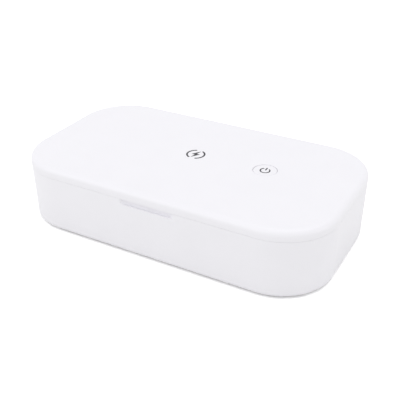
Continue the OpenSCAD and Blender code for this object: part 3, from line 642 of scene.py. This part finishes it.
cut_clear("lower_glass_plate", "lower_window", "base", glass)
cut_clear("upper_glass_plate", "upper_window", "lid", glass)
cut_clear("clear_rests", "phone_rests", "base", acrylic)

# %% [markdown]
# The button carries a dark power sign and the lid a charging sign, both pad printed: a soft
# pad lays ink on the moulding, about 0.02 mm thick, and the ink follows even the dished
# button. A sign could be painted by a mask in the shader, but its edges would blur in other
# renderers, so it is a thin real film. A film has a few closed outlines, most of them the
# outline of a line with round ends, and a ray dropped on the solid below gives each point
# its height.

# %% Ink and the way it is laid
INK_HEIGHT = 0.02 * MM
INK_SINK = 0.01 * MM

ink = new_finish("pad_printed_ink", IOR=1.5)
swing(ink, mottle(ink, 0.4, 4), ("26252B", "34333A"), (0.42, 0.58))
relief(ink, (mottle(ink, 0.2, 3), 0.003))


def arc(radius, start, end, steps=40):
    """Points along an arc. Angles are in degrees, and 90 points to the back of the box."""
    angles = [math.radians(start + (end - start) * i / steps) for i in range(steps + 1)]
    return [Vector((math.cos(a), math.sin(a))) * radius for a in angles]


def stroke(path, width, cap_steps=8):
    """Outline of a line of this width with round ends."""
    outline = []
    for way in (path, path[::-1]):
        for here, ahead in zip(way, way[1:]):
            side = (ahead - here).orthogonal().normalized() * width / 2
            outline.append(here + side)
        for i in range(cap_steps):
            outline.append(way[-1] + Matrix.Rotation(-math.pi * i / cap_steps, 2) @ side)
    return outline


def printed(name, outlines, centre, solid, body):
    """A film of ink on a solid's upper face, with outlines in millimetres round a centre."""
    surface = cad[solid].data
    tree = BVHTree.FromPolygons([v.co for v in surface.vertices],
                                [p.vertices for p in surface.polygons])
    above = Vector((0, 0, 1))
    shape = bmesh.new()
    for outline in outlines:
        hits = [tree.ray_cast(centre + p.to_3d() * MM + above, -above)[0] for p in outline]
        top = [shape.verts.new(hit + above * INK_HEIGHT) for hit in hits]
        bottom = [shape.verts.new(hit - above * INK_SINK) for hit in hits]
        lids = [shape.faces.new(top), shape.faces.new(bottom)]
        for i in range(len(hits)):
            shape.faces.new((top[i - 1], top[i], bottom[i], bottom[i - 1]))
        bmesh.ops.triangulate(shape, faces=lids)
    into_frame(new_piece(name, shape, ink), body)


# %% [markdown]
# Both signs are common property: a ring with a gap and a bar stands for power, and a bolt
# between two arcs for charging. They could be letters of a symbol font, but not every machine
# has the same fonts, so they are drawn from arcs and straight lines. Turned half round, the
# bolt looks the same, so half of its corners are enough.

# %% Print the two signs


def middle_of(node):
    """Middle of a solid's box, as seen from above."""
    low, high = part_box(node)
    return Vector(((low.x + high.x) / 2, (low.y + high.y) / 2, 0))


# Radius and line width of each sign, in millimetres, as are the points of its straight lines
POWER_RADIUS, POWER_LINE = 3.2, 0.95
CHARGING_RADIUS, CHARGING_LINE = 6.2, 1.25

power_sign = [stroke(arc(POWER_RADIUS, 130, 410), POWER_LINE),
              stroke([Vector((0, 0.9)), Vector((0, 3.7))], POWER_LINE)]
printed("power_sign", power_sign, middle_of("power_button"), "power_button", "button")

# Half of the bolt's corners; the other half is the same, turned round the middle
half_bolt = [Vector(p) for p in ((0.5, 0.8), (2.9, 0.8), (-1.4, -5.6), (-0.4, -0.8))]
bolt = half_bolt + [-p for p in half_bolt]
charging_sign = [stroke(arc(CHARGING_RADIUS, 115, 245), CHARGING_LINE),
                 stroke(arc(CHARGING_RADIUS, -65, 65), CHARGING_LINE), bolt]
SIGN_PLACE = Vector((-1.5, 3.5, 0)) * MM
printed("charging_sign", charging_sign, SIGN_PLACE, "lid_shell", "lid")

# %% [markdown]
# Screws, a wound coil and rows of contacts repeat or follow a path, so Geometry Nodes grow
# them. They could be copied by a loop, but a node tree keeps the rule: its named inputs are
# the sizes, and one tree serves every screw of the box. The tree ends by making the copies
# real and giving the material, and its result becomes a plain mesh, which the export keeps.

# %% Trees, their inputs and their results


def new_tree(name, **sizes):
    """A geometry tree with one named input for each size. Returns it and its inputs."""
    tree = bpy.data.node_groups.new(name, "GeometryNodeTree")
    tree.interface.new_socket("Geometry", in_out="INPUT", socket_type="NodeSocketGeometry")
    for size, kind in sizes.items():
        tree.interface.new_socket(size, in_out="INPUT", socket_type="NodeSocket" + kind)
    tree.interface.new_socket("Geometry", in_out="OUTPUT", socket_type="NodeSocketGeometry")
    print("tree", name, "takes", ", ".join(sizes))
    return tree, add(tree, "NodeGroupInput").outputs


def end_tree(tree, geometry, material):
    """Makes copies real and gives them their material."""
    real = add(tree, "GeometryNodeRealizeInstances", {0: geometry})
    painted = add(tree, "GeometryNodeSetMaterial",
                  {"Geometry": real.outputs[0], "Material": material})
    add(tree, "NodeGroupOutput", {0: painted.outputs[0]})


def grown(name, tree, points, **sizes):
    """A plain mesh object that a tree grows on these points."""
    mesh = bpy.data.meshes.new(name)
    mesh.from_pydata([tuple(p) for p in points], [], [])
    piece = bpy.data.objects.new(name, mesh)
    bpy.context.scene.collection.objects.link(piece)
    modifier = piece.modifiers.new(tree.name, "NODES")
    modifier.node_group = tree
    for item in tree.interface.items_tree:
        if item.in_out == "INPUT" and item.name in sizes:
            modifier[item.identifier] = sizes[item.name]
    evaluated = piece.evaluated_get(bpy.context.evaluated_depsgraph_get())
    result = bpy.data.meshes.new_from_object(evaluated)
    piece.modifiers.remove(modifier)
    piece.data = result
    result.name = name
    return piece


# %% [markdown]
# Real screws for plastic have a wide, flat head with a bevelled rim, a cross recess, and a
# coarse sharp thread. The frame holds plain pins in their places, and a bump on them would
# stay flat in outline. So one tree builds a screw that points down. Its head is two short
# cones, the rim and the bevel, which a boolean joins, and a second boolean cuts the cross.
# Their Manifold solver leaves no face where rim and bevel meet.

# %% Head of a screw
screw_tree, size = new_tree(
    "cross_recess_screw", Head_Radius="Float", Head_Height="Float", Core_Radius="Float", Length="Float",
    Pitch="Float", Cross_Length="Float", Cross_Width="Float", Cross_Depth="Float", Turn="Vector")
ROUND = 32  # sides of a head
BEVEL = 0.3  # share of the head's height that its bevel takes


def lifted(tree, mesh, height):
    """A mesh moved along Z."""
    place = add(tree, "ShaderNodeCombineXYZ", {"Z": height}).outputs[0]
    return add(tree, "GeometryNodeTransform", {"Geometry": mesh, "Translation": place}).outputs[0]


bevel_height = add(screw_tree, "ShaderNodeMath", {0: size["Head_Height"], 1: BEVEL},
                   operation="MULTIPLY").outputs[0]
rim_height = add(screw_tree, "ShaderNodeMath", {0: size["Head_Height"], 1: bevel_height},
                 operation="SUBTRACT").outputs[0]
top_radius = add(screw_tree, "ShaderNodeMath", {0: size["Head_Radius"], 1: bevel_height},
                 operation="SUBTRACT").outputs[0]
blade_height = add(screw_tree, "ShaderNodeMath", {0: size["Cross_Depth"], 1: 2},
                   operation="MULTIPLY").outputs[0]
rim = add(screw_tree, "GeometryNodeMeshCone",
          {"Vertices": ROUND, "Radius Top": size["Head_Radius"], "Radius Bottom": size["Head_Radius"],
           "Depth": rim_height}).outputs["Mesh"]
bevel = add(screw_tree, "GeometryNodeMeshCone",
            {"Vertices": ROUND, "Radius Top": top_radius, "Radius Bottom": size["Head_Radius"],
             "Depth": bevel_height}).outputs["Mesh"]
cross = []
for turn in (0, math.pi / 2):
    blade_size = add(screw_tree, "ShaderNodeCombineXYZ",
                     {"X": size["Cross_Length"], "Y": size["Cross_Width"],
                      "Z": blade_height}).outputs[0]
    blade = add(screw_tree, "GeometryNodeMeshCube", {"Size": blade_size}).outputs["Mesh"]
    turned = add(screw_tree, "GeometryNodeTransform", {"Geometry": blade, "Rotation": (0, 0, turn)})
    cross.append(lifted(screw_tree, turned.outputs[0], size["Head_Height"]))
head = add(screw_tree, "GeometryNodeMeshBoolean",
           {"Mesh 2": [rim, lifted(screw_tree, bevel, rim_height)]},
           operation="UNION", solver="MANIFOLD").outputs["Mesh"]
cut_head = add(screw_tree, "GeometryNodeMeshBoolean", {"Mesh 1": head, "Mesh 2": cross},
               operation="DIFFERENCE", solver="MANIFOLD").outputs["Mesh"]

# %% [markdown]
# Below the head come a straight shank, a tip that tapers to a point, and the thread. A thread
# could be cut into the shank, but a boolean along a spiral is slow and breaks easily, so it is
# swept: a triangle follows a spiral along the shank. Shank, tip and thread stay closed shells
# of their own, which reach into each other and look like one. Each point's distance from the
# axis is stored for the rings that the turning tool leaves.

# %% Measures below the head
SHANK_ROUND = 20  # sides of a shank, and points on one turn of its thread
THREAD_DEPTH = 0.28  # share of the pitch
THREAD_REACH = 0.96  # share of the shank that the thread runs along
TIP_LENGTH = 2  # in radii of the core
TIP_SINK = 0.05 * MM  # how far the tip reaches into the shank, so that both stay closed
TIP_FIT = 0.98  # width of the tip's sunk end, as a share of the shank's
TIP_POINT = 0.1 * MM  # radius that the tip ends in

thread_depth = add(screw_tree, "ShaderNodeMath", {0: size["Pitch"], 1: THREAD_DEPTH},
                   operation="MULTIPLY").outputs[0]
tip_length = add(screw_tree, "ShaderNodeMath", {0: size["Core_Radius"], 1: TIP_LENGTH},
                 operation="MULTIPLY").outputs[0]
shank_length = add(screw_tree, "ShaderNodeMath", {0: size["Length"], 1: tip_length},
                   operation="SUBTRACT").outputs[0]
inner_radius = add(screw_tree, "ShaderNodeMath", {0: size["Core_Radius"], 1: thread_depth},
                   operation="SUBTRACT").outputs[0]
tip_radius = add(screw_tree, "ShaderNodeMath", {0: inner_radius, 1: TIP_FIT},
                 operation="MULTIPLY").outputs[0]
tip_depth = add(screw_tree, "ShaderNodeMath", {0: tip_length, 1: TIP_SINK}, operation="ADD").outputs[0]
thread_turns = add(screw_tree, "ShaderNodeMath", {0: shank_length, 1: size["Pitch"]},
                   operation="DIVIDE").outputs[0]
thread_height = add(screw_tree, "ShaderNodeMath", {0: shank_length, 1: THREAD_REACH},
                    operation="MULTIPLY").outputs[0]
below = add(screw_tree, "ShaderNodeMath", {0: shank_length, 1: -1}, operation="MULTIPLY").outputs[0]
lowest = add(screw_tree, "ShaderNodeMath", {0: size["Length"], 1: -1}, operation="MULTIPLY").outputs[0]

# %% [markdown]
# With those measures the shapes need no sums of their own: two cones, and a spiral with a
# circle of three points along it, which is the triangle.

# %% Shank, tip and thread
shank = add(screw_tree, "GeometryNodeMeshCone",
            {"Vertices": SHANK_ROUND, "Radius Top": inner_radius, "Radius Bottom": inner_radius,
             "Depth": shank_length}).outputs["Mesh"]
tip = add(screw_tree, "GeometryNodeMeshCone",
          {"Vertices": SHANK_ROUND, "Radius Top": tip_radius, "Radius Bottom": TIP_POINT,
           "Depth": tip_depth}).outputs["Mesh"]
spiral = add(screw_tree, "GeometryNodeCurveSpiral",
             {"Resolution": SHANK_ROUND, "Rotations": thread_turns, "Start Radius": inner_radius,
              "End Radius": inner_radius, "Height": thread_height}).outputs["Curve"]
ridge = add(screw_tree, "GeometryNodeCurvePrimitiveCircle", {"Resolution": 3, "Radius": thread_depth})
thread = add(screw_tree, "GeometryNodeCurveToMesh",
             {"Curve": spiral, "Profile Curve": ridge.outputs["Curve"], "Fill Caps": True}).outputs[0]
parts = [cut_head, lifted(screw_tree, shank, below), lifted(screw_tree, thread, below),
         lifted(screw_tree, tip, lowest)]
screw = add(screw_tree, "GeometryNodeJoinGeometry", {0: parts}).outputs[0]
flat_place = add(screw_tree, "ShaderNodeVectorMath",
                 {0: add(screw_tree, "GeometryNodeInputPosition").outputs[0], 1: (1, 1, 0)},
                 operation="MULTIPLY").outputs[0]
from_axis = add(screw_tree, "ShaderNodeVectorMath", {0: flat_place}, operation="LENGTH").outputs["Value"]
marked = add(screw_tree, "GeometryNodeStoreNamedAttribute",
             {"Geometry": screw, "Name": "from_axis", "Value": from_axis},
             data_type="FLOAT", domain="POINT")
placed = add(screw_tree, "GeometryNodeInstanceOnPoints",
             {"Points": size["Geometry"], "Instance": marked.outputs[0], "Rotation": size["Turn"]})
end_tree(screw_tree, placed.outputs[0], steel)
print("nodes in the screw tree:", len(screw_tree.nodes))

# %% [markdown]
# The box has three sets of screws: for the bottom cover, for the liner and for the boards.
# Their places could be typed in, but they would go wrong with the next change to the frame, so
# they are measured. A node's mesh falls apart into separate solids, the box round each gives a
# place and a length, and the tree sets a screw there, turned over where it comes from below.

# %% Set the screws


def solids_of(node):
    """Lowest and highest corner of each separate solid of a node."""
    welded = welded_copy(node)
    left = set(welded.verts)
    boxes = []
    while left:
        open_ends, found = [left.pop()], []
        while open_ends:
            vertex = open_ends.pop()
            found.append(vertex.co[:])
            fresh = {e.other_vert(vertex) for e in vertex.link_edges} & left
            left -= fresh
            open_ends += fresh
        boxes.append((Vector(np.min(found, axis=0)), Vector(np.max(found, axis=0))))
    welded.free()
    return sorted(boxes, key=lambda box: (round(box[0].x, 4), round(box[0].y, 4)))


def screws(node, body, head_height, head_radius, core_radius, pitch, cross, from_below):
    """Replaces a node's plain pins. Sizes are in millimetres, a cross in length, width and depth."""
    boxes = solids_of(node)
    places = []
    for low, high in boxes:
        seat = low.z + head_height * MM if from_below else high.z - head_height * MM
        places.append(((low.x + high.x) / 2, (low.y + high.y) / 2, seat))
    length = boxes[0][1].z - boxes[0][0].z - head_height * MM
    piece = grown(node + "_threaded", screw_tree, places, Head_Radius=head_radius * MM,
                  Head_Height=head_height * MM, Core_Radius=core_radius * MM, Length=length,
                  Pitch=pitch * MM, Cross_Length=cross[0] * MM, Cross_Width=cross[1] * MM,
                  Cross_Depth=cross[2] * MM, Turn=(math.pi if from_below else 0.0, 0.0, 0.0))
    into_frame(piece, body, [node])


screws("cover_screws", "base", head_height=0.85, head_radius=2.6, core_radius=1.2, pitch=1.0,
       cross=(2.8, 0.5, 0.5), from_below=True)
screws("liner_screws", "lid", head_height=0.7, head_radius=2.0, core_radius=1.0, pitch=0.8,
       cross=(2.2, 0.4, 0.4), from_below=True)
screws("board_screws", "base", head_height=1.2, head_radius=1.9, core_radius=0.9, pitch=0.8,
       cross=(2.0, 0.4, 0.6), from_below=False)

# %% [markdown]
# A wireless charger's coil is one length of enamelled copper wire, wound flat from the inside
# out. The frame has a plain ring for it. A spiral whose radius grows by about one wire per
# turn gives the winding at once, so the tree only needs the ring's sizes and the wire's
# diameter, and works out the number of turns by itself.

# %% Wind the coil
WIRE = 1.15 * MM
BORE_RADIUS = 10 * MM
WINDING_PITCH = 1.02  # from turn to turn, in wires
TURN_STEPS = 64  # points on one turn
WIRE_SIDES = 10

copper = new_finish("enamelled_copper_wire", Metallic=1.0, Coat_Weight=0.6, Coat_Roughness=0.12)
swing(copper, mottle(copper, 1.5, 3), ("A85A32", "BE6E40"), (0.28, 0.36))
relief(copper, (mottle(copper, 0.4, 2), 0.004))

coil_tree, size = new_tree("flat_winding", Inner_Radius="Float", Outer_Radius="Float", Wire="Float")
wire_radius = add(coil_tree, "ShaderNodeMath", {0: size["Wire"], 1: 2}, operation="DIVIDE").outputs[0]
first_radius = add(coil_tree, "ShaderNodeMath", {0: size["Inner_Radius"], 1: wire_radius},
                   operation="ADD").outputs[0]
last_radius = add(coil_tree, "ShaderNodeMath", {0: size["Outer_Radius"], 1: wire_radius},
                  operation="SUBTRACT").outputs[0]
room = add(coil_tree, "ShaderNodeMath", {0: last_radius, 1: first_radius},
           operation="SUBTRACT").outputs[0]
pitch = add(coil_tree, "ShaderNodeMath", {0: size["Wire"], 1: WINDING_PITCH},
            operation="MULTIPLY").outputs[0]
turns = add(coil_tree, "ShaderNodeMath", {0: room, 1: pitch}, operation="DIVIDE").outputs[0]
winding = add(coil_tree, "GeometryNodeCurveSpiral",
              {"Resolution": TURN_STEPS, "Rotations": turns, "Start Radius": first_radius,
               "End Radius": last_radius, "Height": 0.0}).outputs["Curve"]
section = add(coil_tree, "GeometryNodeCurvePrimitiveCircle",
              {"Resolution": WIRE_SIDES, "Radius": wire_radius})
wound = add(coil_tree, "GeometryNodeCurveToMesh",
            {"Curve": winding, "Profile Curve": section.outputs["Curve"], "Fill Caps": True}).outputs[0]
coil_place = add(coil_tree, "GeometryNodeInstanceOnPoints",
                 {"Points": size["Geometry"], "Instance": wound})
end_tree(coil_tree, coil_place.outputs[0], copper)

low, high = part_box("charging_coil")
coil = grown("charging_coil_wound", coil_tree, [(low + high) / 2], Inner_Radius=BORE_RADIUS,
             Outer_Radius=(high.x - low.x) / 2, Wire=WIRE)
into_frame(coil, "lid", ["charging_coil"])

# %% [markdown]
# The charging socket has twelve gilt contacts on each side of its tongue, half a millimetre
# apart. Twenty-four boxes could be placed by hand, but they are the plainest case of a
# repeat: a line of points and a small bar on each. The tree takes the count, the pitch and
# the bar's size, and is used once with two points, above and below the tongue.

# %% Set the contacts
CONTACTS = 12
CONTACT_PITCH = 0.5 * MM
CONTACT_SIZE = Vector((0.26, 4.2, 0.04)) * MM
CONTACT_START = 1.5 * MM  # from the closed end of the socket to the contacts
CONTACT_LEVEL = 0.35 * MM  # from the middle of the tongue up or down to the middle of a bar

row_tree, size = new_tree("contact_row", Count="Int", Pitch="Float", Bar="Vector")
step = add(row_tree, "ShaderNodeCombineXYZ", {"X": size["Pitch"]}).outputs[0]
line = add(row_tree, "GeometryNodeMeshLine", {"Count": size["Count"], "Offset": step}).outputs["Mesh"]
bar = add(row_tree, "GeometryNodeMeshCube", {"Size": size["Bar"]}).outputs["Mesh"]
row = add(row_tree, "GeometryNodeInstanceOnPoints", {"Points": line, "Instance": bar}).outputs[0]
rows = add(row_tree, "GeometryNodeInstanceOnPoints", {"Points": size["Geometry"], "Instance": row})
end_tree(row_tree, rows.outputs[0], gold)

row_start = socket_middle.x - (CONTACTS - 1) / 2 * CONTACT_PITCH
row_middle = socket_low.y + CONTACT_START + CONTACT_SIZE.y / 2
starts = [(row_start, row_middle, socket_middle.z + side * CONTACT_LEVEL) for side in (-1, 1)]
contacts = grown("socket_contacts", row_tree, starts, Count=CONTACTS, Pitch=CONTACT_PITCH,
                 Bar=tuple(CONTACT_SIZE))
into_frame(contacts, "base")

# %% [markdown]
# A cold-cathode lamp has a small nickel cup at each end of its tube, open towards the gas.
# The tubes are clear, so the cups show. A cup is a turned shape, and the plain way to one
# is a profile spun about its axis: down the outside, round the lip and back inside.

# %% Turn the cups
CUP_LENGTH = 7 * MM
CUP_RADIUS = 1.1 * MM
CUP_WALL = 0.15 * MM
CUP_SETBACK = 5 * MM  # from the tube's end to the closed end of the cup
SPIN_STEPS = 24


def cups(name, tube_node, body):
    """A pair of cups that face each other along a lamp's tube."""
    low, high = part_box(tube_node)
    middle = (low + high) / 2
    reach = (high.x - low.x) / 2 - CUP_SETBACK
    inner = CUP_RADIUS - CUP_WALL
    profile = [(0, 0), (CUP_RADIUS, 0), (CUP_RADIUS, CUP_LENGTH), (inner, CUP_LENGTH),
               (inner, CUP_WALL), (0, CUP_WALL)]
    shape = bmesh.new()
    for side in (-1, 1):
        outline = [shape.verts.new((middle.x + side * (reach - depth), middle.y, middle.z + radius))
                   for radius, depth in profile]
        edges = [shape.edges.new(pair) for pair in zip(outline, outline[1:])]
        bmesh.ops.spin(shape, geom=outline + edges, cent=middle, axis=(1, 0, 0),
                       angle=2 * math.pi, steps=SPIN_STEPS, use_merge=True)
    bmesh.ops.remove_doubles(shape, verts=shape.verts, dist=WELD)
    into_frame(new_piece(name, shape, steel), body)


cups("lower_lamp_electrodes", "lower_lamp_tube", "base")
cups("upper_lamp_electrodes", "upper_lamp_tube", "lid")
